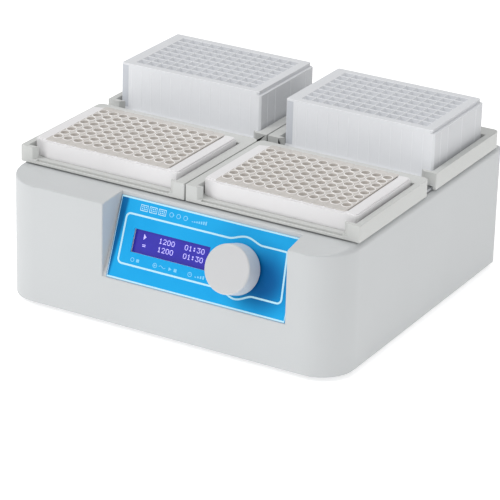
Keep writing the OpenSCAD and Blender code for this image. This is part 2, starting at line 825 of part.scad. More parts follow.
module nest_front_left() { color("gainsboro") nest(-1, nest_front[0]); }
module nest_front_right() { color("gainsboro") nest(1, nest_front[0]); }
module nest_rear_left() { color("gainsboro") nest(-1, nest_front[1]); }
module nest_rear_right() { color("gainsboro") nest(1, nest_front[1]); }

// ---------- labware ----------

plate_x = nest_x + inner_rail + plate_side_gap + plate_l / 2;
plate_y = [for (y = nest_front) y + plate_front_gap + plate_w / 2];
columns = 12;
rows = 8;

module well_grid() {
    for (c = [0:columns - 1], r = [0:rows - 1])
        translate([(c - 5.5) * well_pitch, (r - 3.5) * well_pitch, 0]) children();
}

// Plan of a plate: its two left corners are cut back by cut[0] along its front and back and by
// cut[1] along its left side.
module plate_plan(l, w, cut) {
    polygon([
        [-l / 2 + cut[0], -w / 2], [l / 2 - 1.5, -w / 2], [l / 2, -w / 2 + 1.5],
        [l / 2, w / 2 - 1.5], [l / 2 - 1.5, w / 2], [-l / 2 + cut[0], w / 2],
        [-l / 2, w / 2 - cut[1]], [-l / 2, -w / 2 + cut[1]]
    ]);
}

frame_cut = [12.5, 3.3];
strip_reach = 42.2;

// Open frame that holds the strips by their ends.
module strip_frame(x) {
    h = strip_plate_h;
    color("white") translate([x, plate_y[0], floor_z]) difference() {
        union() {
            linear_extrude(h - 1.2) plate_plan(plate_l, plate_w, frame_cut);
            linear_extrude(h) plate_plan(plate_l - 1.6, plate_w - 1.6, frame_cut);
        }
        translate([0, 0, -1]) linear_extrude(h - 1.5)
            plate_plan(plate_l - 3, plate_w - 3, frame_cut);
        box(-54.6, 54.6, -39, 39, -1, h + 1);
    }
}

// Twelve strips of eight wells, hanging from their rims on the frame.
module well_strips(x) {
    h = strip_plate_h;
    color("lavender") translate([x, plate_y[0], floor_z]) for (c = [0:columns - 1])
        translate([(c - 5.5) * well_pitch, 0, 0]) difference() {
            union() {
                box(-4.4, 4.4, -strip_reach, strip_reach, h, h + 0.9);
                box(-4.2, 4.2, -38.8, 38.8, h - 2.2, h + eps);
                for (r = [0:rows - 1]) translate([0, (r - 3.5) * well_pitch, h - 11])
                    cylinder(r = 3.95, h = 11, $fn = 32);
            }
            for (r = [0:rows - 1]) translate([0, (r - 3.5) * well_pitch, h - 10])
                cylinder(r = 3.35, h = 12, $fn = 32);
        }
}

deep_cut = [1, 1];
deep_lip = 2.4;
rib_y = [-30.7, -18.7, 5.3, 29.3];

// Deep-well plate: a block of square wells on a thin flange, hollow underneath between the ribs
// of its outer walls. Its right end steps down below the rim.
module deep_plate(x) {
    h = deep_plate_h;
    l = plate_l - 1.2;
    w = plate_w - 1.2;
    edges = concat([-w / 2 + 0.4], rib_y, [w / 2 - 0.4]);
    color("aliceblue") translate([x, plate_y[1], floor_z]) difference() {
        union() {
            linear_extrude(2.2) plate_plan(plate_l, plate_w, deep_cut);
            linear_extrude(h - 3) plate_plan(l, w, deep_cut);
            translate([-deep_lip / 2, 0, 0]) linear_extrude(h) plate_plan(l - deep_lip, w, deep_cut);
        }
        for (s = [-1, 1]) {
            for (i = [0:len(rib_y)]) translate([s * 58.5, 0, 0])
                box(-3.6, 3.6, edges[i] + 0.6, edges[i + 1] - 0.6, -1, h - 4.2);
            for (c = [0:columns - 1]) translate([(c - 5.5) * well_pitch, s * 39, 0])
                box(-3.9, 3.9, -2.2, 2.2, -1, h - 2);
        }
        translate([0, 0, 5]) well_grid() translate([-4, -4, 0]) cube([8, 8, h]);
    }
}

module strip_frame_left() { strip_frame(-plate_x); }
module strip_frame_right() { strip_frame(plate_x); }
module well_strips_left() { well_strips(-plate_x); }
module well_strips_right() { well_strips(plate_x); }
module deep_plate_left() { deep_plate(-plate_x); }
module deep_plate_right() { deep_plate(plate_x); }

upper_housing();
base_pan();
rubber_feet();
foot_screws();
base_screws();
panel_overlay();
lcd_bezel();
lcd_glass();
display_board();
display_screws();
encoder_body();
encoder_nut();
encoder_rotor();
encoder_shaft();
control_knob();
main_board();
board_spacers();
board_screws();
ribbon_cable();
power_supply();
mains_inlet();
fuse_drawer();
switch_frame();
power_rocker();
chassis_plate();
chassis_columns();
chassis_screws();
bearing_housing();
bearing_outer_rings();
bearing_balls();
bearing_inner_rings();
crank_shaft();
driven_pulley();
counterweight();
drive_belt();
motor_case();
motor_rotor();
motor_pulley();
speed_sensor();
idler_bushes();
idler_front_left();
idler_front_right();
idler_rear_left();
idler_rear_right();
carrier_plate();
platform_hub();
platform_bearings();
idler_sockets();
platform_screws();
nest_front_left();
nest_front_right();
nest_rear_left();
nest_rear_right();
strip_frame_left();
well_strips_left();
strip_frame_right();
well_strips_right();
deep_plate_left();
deep_plate_right();
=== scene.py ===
import math
import bmesh
import bpy
from mathutils import Matrix, Vector


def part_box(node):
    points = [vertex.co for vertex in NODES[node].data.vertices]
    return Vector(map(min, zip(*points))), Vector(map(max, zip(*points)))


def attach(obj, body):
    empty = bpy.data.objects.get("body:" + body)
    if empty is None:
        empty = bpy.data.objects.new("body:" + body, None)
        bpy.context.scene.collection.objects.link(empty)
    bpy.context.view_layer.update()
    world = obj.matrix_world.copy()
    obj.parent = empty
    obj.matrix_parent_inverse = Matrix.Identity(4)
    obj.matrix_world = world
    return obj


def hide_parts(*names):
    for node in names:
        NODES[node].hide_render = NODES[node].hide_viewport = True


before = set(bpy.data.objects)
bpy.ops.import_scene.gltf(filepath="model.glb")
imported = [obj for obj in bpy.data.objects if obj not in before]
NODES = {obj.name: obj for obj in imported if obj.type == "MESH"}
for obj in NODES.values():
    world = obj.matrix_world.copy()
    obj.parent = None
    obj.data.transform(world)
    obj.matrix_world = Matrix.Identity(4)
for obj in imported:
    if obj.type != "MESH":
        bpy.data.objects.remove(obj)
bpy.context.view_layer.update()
MM = 0.001  # the frame is in metres


# ---------------------------------------------------------------- materials

def material(name, color, rough=0.5, metal=0.0, level=0.5, coat=0.0, coat_rough=0.2, clear=0.0,
             ior=1.5, sss=0.0, sss_radius=(0.004, 0.004, 0.004), vary=0.03, vary_scale=30.0,
             grain=0.06, grain_scale=1400.0, grain_depth=0.00006, rough_vary=0.05, brush=None,
             emission=0.0, tint=None):
    """Principled material: colour drift, fine grain in the bump and uneven roughness, in object space.

    vary is how far the colour drifts, or tint the colour it drifts to. brush squeezes the grain by axis.
    """
    m = bpy.data.materials.new(name)
    m.use_nodes = True
    tree = m.node_tree
    n, link = tree.nodes, tree.links
    shader = n["Principled BSDF"]
    plain_inputs = {"Metallic": metal, "Specular IOR Level": level, "Coat Weight": coat,
                    "Coat Roughness": coat_rough, "Transmission Weight": clear, "IOR": ior,
                    "Subsurface Weight": sss, "Subsurface Radius": sss_radius, "Subsurface Scale": 1.0,
                    "Emission Strength": emission}
    for key, value in plain_inputs.items():
        shader.inputs[key].default_value = value
    where = n.new("ShaderNodeTexCoord")
    drift = n.new("ShaderNodeTexNoise")
    drift.inputs["Scale"].default_value = vary_scale
    drift.inputs["Detail"].default_value = 4.0
    link.new(where.outputs["Object"], drift.inputs["Vector"])
    ramp = n.new("ShaderNodeValToRGB")
    other = tint or [c * (1 - 2 * vary) for c in color]
    ramp.color_ramp.elements[0].position = 0.3
    ramp.color_ramp.elements[0].color = (*other, 1)
    ramp.color_ramp.elements[1].position = 0.7
    ramp.color_ramp.elements[1].color = (*color, 1)
    link.new(drift.outputs["Fac"], ramp.inputs["Fac"])
    link.new(ramp.outputs["Color"], shader.inputs["Base Color"])
    if emission:
        link.new(ramp.outputs["Color"], shader.inputs["Emission Color"])
    fine = n.new("ShaderNodeTexNoise")
    fine.inputs["Scale"].default_value = grain_scale
    fine.inputs["Detail"].default_value = 3.0
    if brush:
        squeeze = n.new("ShaderNodeMapping")
        squeeze.inputs["Scale"].default_value = brush
        link.new(where.outputs["Object"], squeeze.inputs["Vector"])
        link.new(squeeze.outputs["Vector"], fine.inputs["Vector"])
    else:
        link.new(where.outputs["Object"], fine.inputs["Vector"])
    spread = n.new("ShaderNodeMapRange")
    spread.inputs["To Min"].default_value = max(0.02, rough - rough_vary)
    spread.inputs["To Max"].default_value = min(1.0, rough + rough_vary)
    link.new(fine.outputs["Fac"], spread.inputs["Value"])
    link.new(spread.outputs["Result"], shader.inputs["Roughness"])
    bump = n.new("ShaderNodeBump")
    bump.inputs["Strength"].default_value = grain
    bump.inputs["Distance"].default_value = grain_depth
    link.new(fine.outputs["Fac"], bump.inputs["Height"])
    link.new(bump.outputs["Normal"], shader.inputs["Normal"])
    return m


def shade(m, centre, near, far, dark):
    """Paints shade into a material's colour: darkens it around a point on the model, fully within near, not
    at all past far.
    """
    n, link = m.node_tree.nodes, m.node_tree.links
    shader = n["Principled BSDF"]
    plain = shader.inputs["Base Color"].links[0].from_socket
    where = n.new("ShaderNodeTexCoord")
    reach = n.new("ShaderNodeVectorMath")
    reach.operation = "DISTANCE"
    reach.inputs[1].default_value = centre
    link.new(where.outputs["Object"], reach.inputs[0])
    fade = n.new("ShaderNodeMapRange")
    fade.interpolation_type = "SMOOTHSTEP"
    fade.inputs["From Min"].default_value = near
    fade.inputs["From Max"].default_value = far
    fade.inputs["To Min"].default_value = 1.0
    fade.inputs["To Max"].default_value = 0.0
    link.new(reach.outputs["Value"], fade.inputs["Value"])
    mix = n.new("ShaderNodeMix")
    mix.data_type = "RGBA"
    mix.blend_type = "MULTIPLY"
    link.new(fade.outputs["Result"], mix.inputs["Factor"])
    link.new(plain, mix.inputs["A"])
    mix.inputs["B"].default_value = (*dark, 1)
    link.new(mix.outputs["Result"], shader.inputs["Base Color"])


def paint_facing_light(m, sides, front, top):
    """Painted light: emission that stands in for light through a milky wall, by how bright its sides, its
    front and its upward faces shine.
    """
    n, link = m.node_tree.nodes, m.node_tree.links
    facing = n.new("ShaderNodeNewGeometry")
    # Painted light: the sides' brightness, and on top of it what a face gets for looking forward and for
    # looking up.
    so_far = None
    for axis, more in (((0, -1, 0), front - sides), ((0, 0, 1), top - sides)):
        share = n.new("ShaderNodeVectorMath")
        share.operation = "DOT_PRODUCT"
        share.inputs[1].default_value = axis
        link.new(facing.outputs["True Normal"], share.inputs[0])
        part = n.new("ShaderNodeMapRange")
        part.inputs["To Max"].default_value = more
        link.new(share.outputs["Value"], part.inputs["Value"])
        add = n.new("ShaderNodeMath")
        add.operation = "ADD"
        add.inputs[1].default_value = sides
        if so_far:
            link.new(so_far, add.inputs[1])
        link.new(part.outputs["Result"], add.inputs[0])
        so_far = add.outputs["Value"]
    link.new(so_far, n["Principled BSDF"].inputs["Emission Strength"])


M = {
    "housing": material("housing_plastic", (0.605, 0.622, 0.63), 0.42, vary=0.012, vary_scale=14, grain=0.35,
                        grain_scale=900, rough_vary=0.06),
    "nest": material("nest_plastic", (0.635, 0.645, 0.63), 0.38, vary=0.012, grain=0.25, grain_scale=1100),
    "pan": material("powder_coat", (0.48, 0.49, 0.50), 0.5, level=0.4, grain=0.5, grain_scale=700),
    "foot": material("foot_rubber", (0.025, 0.025, 0.027), 0.8, grain=0.6, grain_scale=1500, vary=0.1),
    "steel": material("zinc_steel", (0.55, 0.56, 0.58), 0.32, metal=1.0, brush=(60, 60, 900), grain=0.2),
    "film": material("panel_film", (0.014, 0.42, 0.85), 0.38, level=0.16, tint=(0.008, 0.38, 0.81),
                     grain=0.2, grain_scale=1800),
    "print": material("panel_print_and_edge_highlight", (0.54, 0.87, 1.0), 0.4, vary=0.01, grain=0.1),
    "faint_print": material("panel_signs", (0.22, 0.66, 0.97), 0.4, vary=0.01, grain=0.1),
    "lcd_frame": material("lcd_frame", (0.02, 0.02, 0.024), 0.45, vary=0.05),
    "lcd": material("lcd_cell", (0.028, 0.022, 0.36), 0.16, coat=0.6, coat_rough=0.08,
                    tint=(0.022, 0.016, 0.30), vary_scale=60, grain=0.05, emission=0.35),
    "lcd_dot": material("lcd_characters", (0.55, 0.50, 0.95), 0.4, vary=0.01, emission=0.55, grain=0.05),
    "board": material("solder_mask", (0.01, 0.10, 0.04), 0.3, coat=0.4, vary=0.12, vary_scale=260,
                      grain=0.3, grain_scale=500),
    "encoder": material("stamped_metal", (0.58, 0.58, 0.58), 0.3, metal=1.0, grain=0.3),
    "knob": material("knob_plastic", (0.635, 0.64, 0.65), 0.36, vary=0.01, grain=0.3, grain_scale=1300),
    "cable": material("flat_cable", (0.16, 0.17, 0.19), brush=(800, 1, 1), grain=0.6, grain_depth=0.0002),
    "supply": material("supply_case", (0.60, 0.61, 0.63), 0.35, metal=1.0, brush=(900, 40, 40), grain=0.25),
    "black": material("black_plastic", (0.012, 0.012, 0.013), 0.42, grain=0.35, grain_scale=1200, vary=0.08),
    "chassis": material("chassis_aluminium", (0.36, 0.37, 0.385), 0.42, metal=1.0, brush=(30, 900, 30),
                        grain=0.3),
    "chrome": material("bearing_steel", (0.62, 0.63, 0.65), 0.14, metal=1.0, rough_vary=0.03),
    "belt": material("belt_rubber", (0.02, 0.02, 0.022), 0.7, grain=0.8, grain_scale=900),
    "motor": material("motor_paint", (0.02, 0.023, 0.027), 0.38, coat=0.2, grain=0.4, grain_scale=600),
    "pulley": material("acetal", (0.70, 0.68, 0.62), 0.4, grain=0.3),
    "bronze": material("sintered_bronze", (0.55, 0.36, 0.16), 0.42, metal=1.0, grain=0.5, grain_scale=2500,
                       vary=0.12),
    "white": material("labware_white", (0.86, 0.85, 0.86), 0.34, level=0.45, vary=0.01, grain=0.15,
                      grain_scale=600),
    # The clear strips' emission is painted light, standing in for light passing through them.
    "clear": material("labware_clear", (0.63, 0.60, 0.57), 0.16, clear=0.15, ior=1.4, level=0.8, vary=0.02,
                      sss=0.3, sss_radius=(0.003, 0.0028, 0.0026), emission=0.14, grain=0.1, grain_scale=500),
    # Painted highlight on the wells' raised rings: whiter than the strips, glossy, and shining by emission.
    "ring": material("labware_ring_painted_highlight", (0.86, 0.845, 0.83), 0.1, level=0.9, vary=0.02, emission=0.12,
                     grain=0.1, grain_scale=500),
    # The deep-well plates' emission is painted light, brighter on fronts and tops further down.
    "natural": material("labware_natural", (0.60, 0.61, 0.63), 0.4, sss=0.12,
                        sss_radius=(0.006, 0.006, 0.0065), emission=0.2, vary=0.012, vary_scale=50,
                        grain=0.25, grain_scale=420, grain_depth=0.0001),
    # Painted light in the deep wells: emission that brightens their insides.
    "well": material("labware_well_painted_light", (0.57, 0.58, 0.60), 0.3, emission=0.33, vary=0.02, grain=0.15,
                     grain_scale=420),
    # Painted light on the ribs seen through the walls, and the painted highlight along the front's top rim.
    "rib": material("labware_rib_and_rim_painted_light", (0.64, 0.65, 0.67), 0.4, emission=0.2, vary=0.01, grain=0.1),
    # Painted shade over the hollow left ends of the plates' fronts: darker, with less painted light.
    "hollow": material("labware_hollow_painted_shade", (0.52, 0.54, 0.58), 0.4, emission=0.2, vary=0.02, grain=0.1),
}
# Painted light on the deep-well plates, their ribs and their hollow ends: fronts and tops shine brighter than
# sides.
paint_facing_light(M["natural"], 0.08, 0.45, 0.22)
paint_facing_light(M["rib"], 0.09, 0.44, 0.6)
paint_facing_light(M["hollow"], 0.05, 0.3, 0.2)
# Painted shadow of the knob on the film beside it, and painted shade of the recess wall along the film's left
# edge, which is the side of a ball so large that its edge is nearly straight.
shade(M["film"], (0.077, -0.1197, 0.0655), 0.007, 0.033, (0.0, 0.28, 0.42))
shade(M["film"], (-1.0471, -0.0899, 0.1459), 1.0034, 1.0062, (0.02, 0.34, 0.46))

# The nodes that wear each material.
WEARS = {
    "pan": "base_pan", "foot": "rubber_feet",
    "steel": "foot_screws base_screws display_screws board_screws chassis_screws platform_screws encoder_nut "
             "chassis_columns",
    "film": "panel_overlay", "lcd_frame": "lcd_bezel", "lcd": "lcd_glass",
    "board": "display_board main_board",
    "encoder": "encoder_body encoder_rotor encoder_shaft", "knob": "control_knob", "cable": "ribbon_cable",
    "supply": "power_supply", "black": "mains_inlet fuse_drawer switch_frame power_rocker speed_sensor",
    "chassis": "chassis_plate bearing_housing carrier_plate platform_hub",
    "chrome": "bearing_outer_rings bearing_balls bearing_inner_rings platform_bearings crank_shaft "
              "motor_rotor idler_front_left idler_front_right idler_rear_left idler_rear_right",
    "belt": "drive_belt", "motor": "motor_case", "pulley": "driven_pulley motor_pulley",
    "bronze": "idler_bushes idler_sockets counterweight board_spacers",
    "housing": "upper_housing", "nest": "nest_front_left nest_front_right nest_rear_left nest_rear_right",
    "white": "strip_frame_left strip_frame_right", "clear": "well_strips_left well_strips_right",
    "natural": "deep_plate_left deep_plate_right",
}


def paint(obj, key):
    """Gives the object one material, and keeps which of its faces wear a second one."""
    while len(obj.data.materials) > 1:
        obj.data.materials.pop()
    if obj.data.materials:
        obj.data.materials[0] = M[key]
    else:
        obj.data.materials.append(M[key])


def smooth(obj):
    """Shades round surfaces smooth and keeps the sharp edges."""
    limit = math.radians(32)
    bm = bmesh.new()
    bm.from_mesh(obj.data)
    for f in bm.faces:
        f.smooth = True
    for e in bm.edges:
        e.smooth = len(e.link_faces) == 2 and e.calc_face_angle() < limit
    bm.to_mesh(obj.data)
    bm.free()


for key, names in WEARS.items():
    for node in names.split():
        paint(NODES[node], key)


# ---------------------------------------------------------------- making pieces

def new_piece(name, bm, key, body):
    """An object of the mesh, in its material, riding on its body."""
    mesh = bpy.data.meshes.new(name)
    bm.to_mesh(mesh)
    bm.free()
    obj = bpy.data.objects.new(name, mesh)
    bpy.context.scene.collection.objects.link(obj)
    paint(obj, key)
    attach(obj, body)
    return obj


def clean_mesh(node):
    """The node's mesh with its seams welded and its flat faces joined."""
    weld, flat = 0.000002, math.radians(0.4)
    bm = bmesh.new()
    bm.from_mesh(NODES[node].data)
    bmesh.ops.remove_doubles(bm, verts=bm.verts, dist=weld)
    bmesh.ops.dissolve_limit(bm, angle_limit=flat, verts=bm.verts, edges=bm.edges)
    return bm


def middle(e):
    return (e.verts[0].co + e.verts[1].co) / 2


def round_edges(bm, width, wanted, segments, angle):
    """Bevels the outward edges that are sharper than the angle and that the wanted function picks."""
    limit = math.radians(angle)
    edges = [e for e in bm.edges if len(e.link_faces) == 2 and e.calc_face_angle(0) > limit
             and e.is_convex and wanted(middle(e), e)]
    bmesh.ops.bevel(bm, geom=edges, offset=width, offset_type="OFFSET", segments=segments, profile=0.5,
                    affect="EDGES", clamp_overlap=False, harden_normals=False)


def standing_for(node, name, bm, key, body):
    """A piece that shows the mesh in place of the CAD node."""
    obj = new_piece(name, bm, key, body)
    smooth(obj)
    normals = obj.modifiers.new("normals", "WEIGHTED_NORMAL")
    normals.keep_sharp = True
    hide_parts(node)
    return obj


def any_edge(p, e):
    return True


def rounded_copy(node, name, key, body, width, wanted=any_edge, segments=2, angle=28.0):
    """A piece like the CAD node, with the wanted edges rounded to the width."""
    bm = clean_mesh(node)
    round_edges(bm, width, wanted, segments, angle)
    return standing_for(node, name, bm, key, body)


def box_into(bm, low, high):
    """Adds a box between two corners to the mesh and gives back its vertices."""
    low, high = Vector(low), Vector(high)
    place = Matrix.Translation((low + high) / 2) @ Matrix.Diagonal((*(high - low), 1))
    return bmesh.ops.create_cube(bm, size=1.0, matrix=place)["verts"]


def vertical(e):
    d = e.verts[1].co - e.verts[0].co
    return abs(d.z) > 0.99 * d.length


# ---------------------------------------------------------------- housing

lo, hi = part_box("upper_housing")
FRONT = lo.y


def housing_edge(p, e):
    """The outer edges of the shell: its rim, the panel recess and the bottom, but no hole in deck or back."""
    skin, deck, margin, recess_depth = 0.0005, 0.0046, 0.01, 0.045
    vent_low, vent_high = 0.012, 0.075
    outer = p.x < lo.x + skin or p.x > hi.x - skin or p.y < lo.y + skin or p.y > hi.y - skin
    top = p.z > hi.z - deck
    hole = top and abs(p.x) < hi.x - margin and lo.y + recess_depth < p.y < hi.y - margin
    vent = p.y > hi.y - margin and vent_low < p.z < vent_high
    return (outer or top) and not (hole or vent)


rounded_copy("upper_housing", "housing_shell", "housing", "housing", 0.0009,
             housing_edge, 3)


# ---------------------------------------------------------------- control panel

# The panel's face has its own millimetres: u along it from the model's middle, v up it from its lower
# edge, and w out of it. It leans back by its depth over its height.
TILT = math.atan2(22.1, 59.0)
PANEL_LOW = 0.0409
LCD_LEFT = -34.0
KNOB_U = 56.6


def on_panel(u, v, w):
    """Where a point of the panel's face is in the model."""
    return Vector((u * MM, FRONT + (v * math.sin(TILT) - w * math.cos(TILT)) * MM,
                   PANEL_LOW + (v * math.cos(TILT) + w * math.sin(TILT)) * MM))


def slab(bm, outline, low=-0.03, high=0.06):
    """A thin flat print with the given outline, between two heights over the panel."""
    under = [bm.verts.new(on_panel(u, v, low)) for u, v in outline]
    over = [bm.verts.new(on_panel(u, v, high)) for u, v in outline]
    bm.faces.new(over)
    bm.faces.new(under[::-1])
    for i in range(len(outline)):
        k = (i + 1) % len(outline)
        bm.faces.new((under[i], under[k], over[k], over[i]))


def band(bm, path, width, low=-0.03, high=0.06, closed=True):
    """A printed line of the given width along a path."""
    count = len(path)
    sides = ([], [])
    for i, (u, v) in enumerate(path):
        before = path[i - 1] if closed or i else path[i]
        after = path[(i + 1) % count] if closed or i < count - 1 else path[i]
        d = Vector((after[0] - before[0], after[1] - before[1])).normalized()
        for side, sign in zip(sides, (1, -1)):
            side.append((u - sign * d.y * width / 2, v + sign * d.x * width / 2))
    rings = [[bm.verts.new(on_panel(u, v, w)) for u, v in side] for side in sides for w in (low, high)]
    left_low, left_high, right_low, right_high = rings
    for i in range(count if closed else count - 1):
        k = (i + 1) % count
        bm.faces.new((left_high[i], right_high[i], right_high[k], left_high[k]))
        bm.faces.new((left_low[k], right_low[k], right_low[i], left_low[i]))
        bm.faces.new((left_low[i], left_high[i], left_high[k], left_low[k]))
        bm.faces.new((right_high[i], right_low[i], right_low[k], right_high[k]))
    if not closed:
        for i in (0, count - 1):
            bm.faces.new((left_low[i], right_low[i], right_high[i], left_high[i]))


def arc(u, v, r, start, end, steps=8):
    """Points along an arc, between two angles in degrees."""
    angles = [math.radians(start + (end - start) * i / steps) for i in range(steps + 1)]
    return [(u + r * math.cos(a), v + r * math.sin(a)) for a in angles]


def finish_print(name, bm, key):
    bmesh.ops.recalc_face_normals(bm, faces=bm.faces)
    new_piece(name, bm, key, "housing")


def swell(u, height):
    """How far a frame line bows out beside the knob."""
    centre, reach = KNOB_U + 1.6, 13.8
    d = abs(u - centre) / reach
    return height * (0.5 + 0.5 * math.cos(math.pi * d)) ** 0.8 if d < 1 else 0.0


def frame_line():
    """The printed line round display and knob, with a slanted right end and one corner rounded less."""
    left, right, low_right, bottom, top = -43.0, 92.9, 95.6, 13.0, 50.6
    r, small_r, slant, steps = 3.4, 1.6, 4, 120
    along = [left + r + (low_right - r - left - r) * i / steps for i in range(steps + 1)]
    path = [(u, bottom - swell(u, 4.7)) for u in along]
    path += arc(low_right - r, bottom + r, r, -90, slant)[1:]
    path += arc(right - small_r, top - small_r, small_r, slant, 90, 6)
    path += [(u, top + swell(u, 3.6)) for u in reversed(along) if u < right - small_r - 0.1]
    path += arc(left + r, top - r, r, 90, 180)[1:]
    path += arc(left + r, bottom + r, r, 180, 270)[:-1]
    bm = bmesh.new()
    band(bm, path, 1.4, -0.03, 0.07)
    finish_print("panel_frame_line", bm, "print")


def rectangle(left, low, right, high):
    return [(left, low), (right, low), (right, high), (left, high)]


def border_line():
    """The pale line along the film's edge: the light edge round the film, brightened into a painted
    highlight.
    """
    bm = bmesh.new()
    band(bm, rectangle(-49.65, 1.3, 101.1, 62.05), 1.3, -0.03, 0.05)
    finish_print("panel_edge_highlight", bm, "print")


def circle(bm, u, v, r, width=0.5):
    """A printed ring of sixteen straight pieces."""
    band(bm, arc(u, v, r, 0, 360 * 15 / 16, 15), width)


def block(bm, left, low, right, high):
    slab(bm, rectangle(left, low, right, high))


def title_signs(bold, fine, v):
    """The row over the frame line: three plates, three orbits and a rising scale."""
    for u in (-32.5, -24.7, -16.9):
        band(bold, rectangle(u, v - 2.1, u + 6, v + 2.1), 0.62)
        for column in range(3):
            for row in range(2):
                slab(bold, arc(u + 1.5 + 1.5 * column, v - 0.75 + 1.5 * row, 0.45, 0, 315, 7))
    for u in (-6, 0, 6):
        circle(fine, u, v, 1.6)
        slab(fine, arc(u + 1.6, v, 0.6, 0, 300, 5), -0.03, 0.07)
    for k in range(7):
        u = 11.5 + 1.9 * k
        block(fine, u, v - 1.5, u + 1.2, v - 0.9 + 0.36 * k)


def button_signs(bm, v):
    """The row under the display: ready and stop, speed with start and stop, and time."""
    circle(bm, -31, v, 1.4, 0.45)
    block(bm, -27.6, v - 1.2, -25.2, v + 1.2)
    circle(bm, -11.5, v, 1.6)
    slab(bm, [(-12.2, v - 0.8), (-10.5, v), (-12.2, v + 0.8)])
    band(bm, [(-8, v), (-6.6, v + 0.9), (-5.2, v), (-3.8, v - 0.9), (-2.4, v)], 0.5, closed=False)
    slab(bm, [(0.4, v - 1.4), (3.0, v), (0.4, v + 1.4)])
    block(bm, 4.8, v - 1.2, 7.2, v + 1.2)
    circle(bm, 18.5, v, 1.6)
    band(bm, [(18.5, v + 1.2), (18.5, v), (19.4, v)], 0.42, closed=False)
    for k in range(4):
        u = 22.8 + 2.2 * k
        block(bm, u, v - 1.2, u + 1.3, v - 0.4 + 0.6 * k)


def pictograms():
    """Generic signs in place of the printed words."""
    bold, fine = bmesh.new(), bmesh.new()
    title_signs(bold, fine, 56.6)
    button_signs(fine, 17.4)
    finish_print("panel_title_signs", bold, "print")
    finish_print("panel_pictograms", fine, "faint_print")


# Dot patterns of the characters on the display, seven rows of five dots.
DOTS = {
    "0": "01110 10001 10001 10001 10001 10001 01110", "1": "00100 01100 00100 00100 00100 00100 01110",
    "2": "01110 10001 00001 00010 00100 01000 11111", "3": "11111 00010 00100 00010 00001 10001 01110",
    ":": "00000 01100 01100 00000 01100 01100 00000", ">": "10000 11000 11100 11110 11100 11000 10000",
    "=": "00000 00000 11111 00000 11111 00000 00000",
}


def display_text():
    """Two lines of numbers: speed and time, as set and as running, each behind a generic mark."""
    first, pitch, step, dot = LCD_LEFT + 8, 3.5, 0.56, 0.25
    low, high = -2.8, -2.66
    bm = bmesh.new()
    for middle_v, mark in ((35.6, ">"), (29.2, "=")):
        for start, text in ((0.2, mark), (4, "1200"), (10.3, "01:30")):
            for place, sign in enumerate(text):
                left = first + pitch * (start + place) - 2 * step
                for row, line in enumerate(DOTS[sign].split()):
                    for column, on in enumerate(line):
                        if on == "1":
                            u, v = left + column * step, middle_v + (3 - row) * step
                            slab(bm, rectangle(u - dot, v - dot, u + dot, v + dot), low, high)
    finish_print("display_text", bm, "lcd_dot")


frame_line()
border_line()
pictograms()
display_text()

rounded_copy("control_knob", "knob_shell", "knob", "dial_knob", 0.00025, angle=40.0)

# ---------------------------------------------------------------- platform and labware

def inside(p, a, b, margin):
    return a.x + margin < p.x < b.x - margin and a.y + margin < p.y < b.y - margin


def nest_shell(node):
    """The nest with all its edges rounded but those of the screw holes and of its hollow underside."""
    a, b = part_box(node)
    margin, floor_under, floor_over, hole_points = 0.004, 0.0031, 0.004, 40

    def wanted(p, e):
        if not inside(p, a, b, margin):
            return True
        around_hole = max(len(f.verts) for f in e.link_faces) > hole_points
        return p.z >= a.z + floor_under and not (around_hole and p.z < a.z + floor_over)

    rounded_copy(node, node + "_shell", "nest", "platform", 0.00045, wanted)


for corner in ("front_left", "front_right", "rear_left", "rear_right"):
    nest_shell("nest_" + corner)

# Radius and height of a well's section in millimetres: from the strip's top face over the raised ring
# down to the bottom, and from the strip's lower face down to the bottom's underside.
STRIP_TOP, STRIP_UNDER = -0.3, -0.9
WELL_IN = ((4.15, STRIP_TOP), (4.0, -0.06), (3.84, 0.0), (3.56, 0.0), (3.42, -0.08), (3.35, -0.6),
           (3.2, -9.3), (2.6, -10.3), (1.3, -10.75))
WELL_OUT = ((4.1, STRIP_UNDER), (3.95, -1.5), (3.8, -10.1), (2.9, -11.3), (1.4, -11.85))
PITCH, COLUMNS, ROWS = 9, 12, 8


